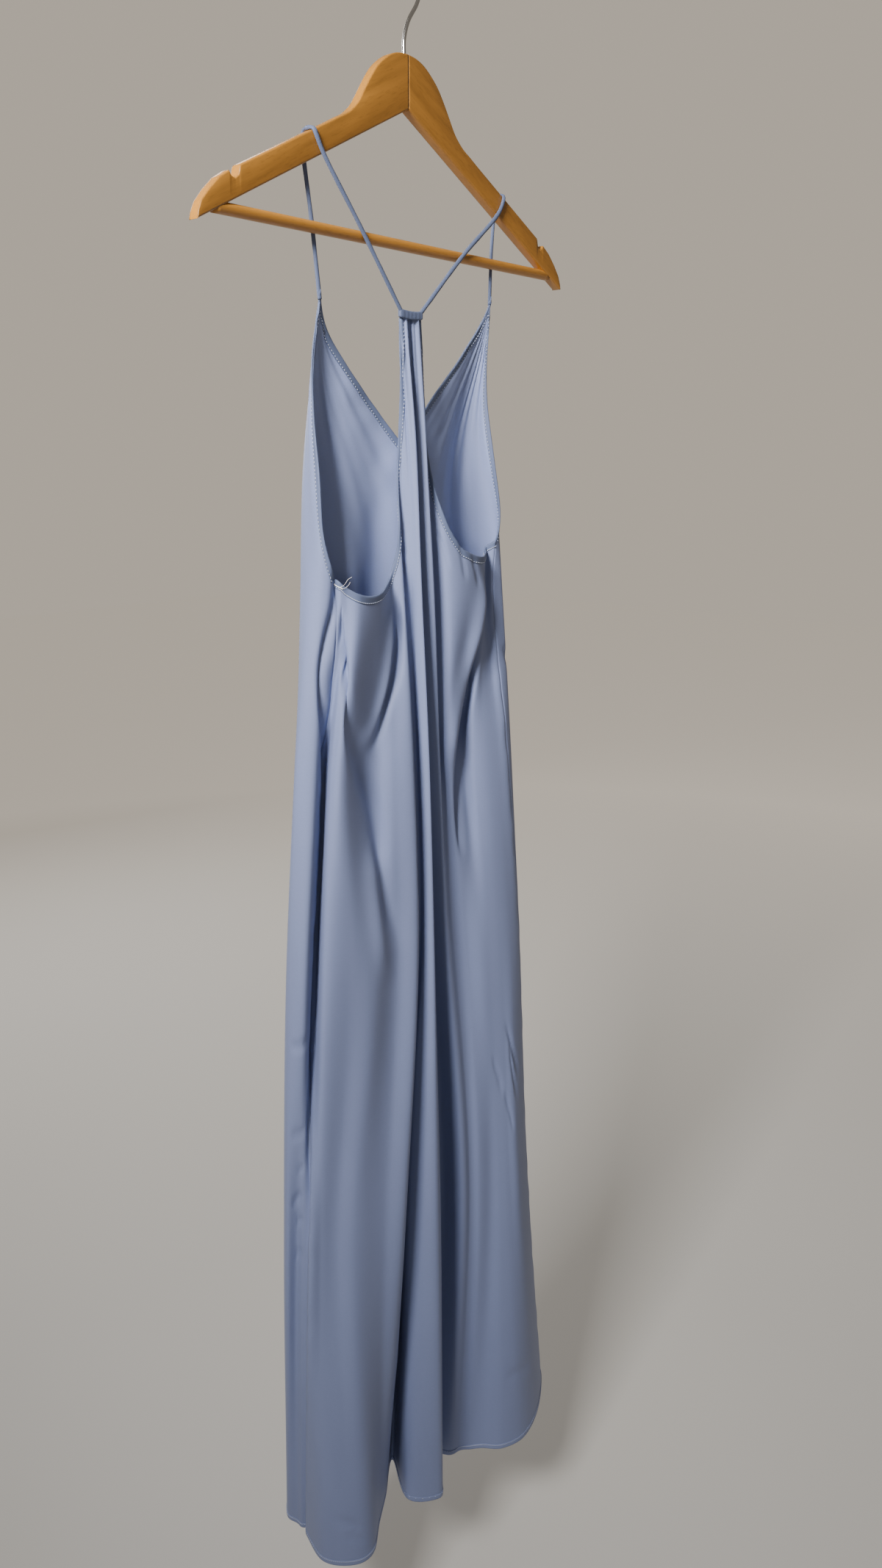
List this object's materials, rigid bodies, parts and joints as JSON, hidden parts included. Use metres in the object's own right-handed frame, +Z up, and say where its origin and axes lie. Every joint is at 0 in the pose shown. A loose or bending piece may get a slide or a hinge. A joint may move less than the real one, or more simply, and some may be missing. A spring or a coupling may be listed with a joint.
{
  "type": "slip dress on a hanger",
  "caption": "Long pale blue slip dress with thin straps and a racer back, hanging on a flat wooden hanger.",
  "frame": {"origin": "seat of the hanger's hook: the underside of its loop, where a rail carries it", "axes": "+Z up; +X along the hanger; -Y the way the dress's front faces, +Y its back"},
  "size_m": [0.4783, 0.167, 1.5582],
  "materials": {
    "cloth": "satin",
    "binding": "satin",
    "wood": "satin",
    "chrome": "polished"
  },
  "bodies": {
    "root": {"back_panel": "cloth", "front_panel": "cloth", "armhole_binding_back_left": "binding", "armhole_binding_back_right": "binding", "armhole_binding_front_left": "binding", "armhole_binding_front_right": "binding", "neck_binding_left": "binding", "neck_binding_right": "binding", "back_band": "binding", "strap_left": "binding", "strap_right": "binding", "hanger_arm_left": "wood", "hanger_arm_right": "wood", "hanger_bar": "wood", "hanger_hook": "chrome"}
  },
  "joints": []
}
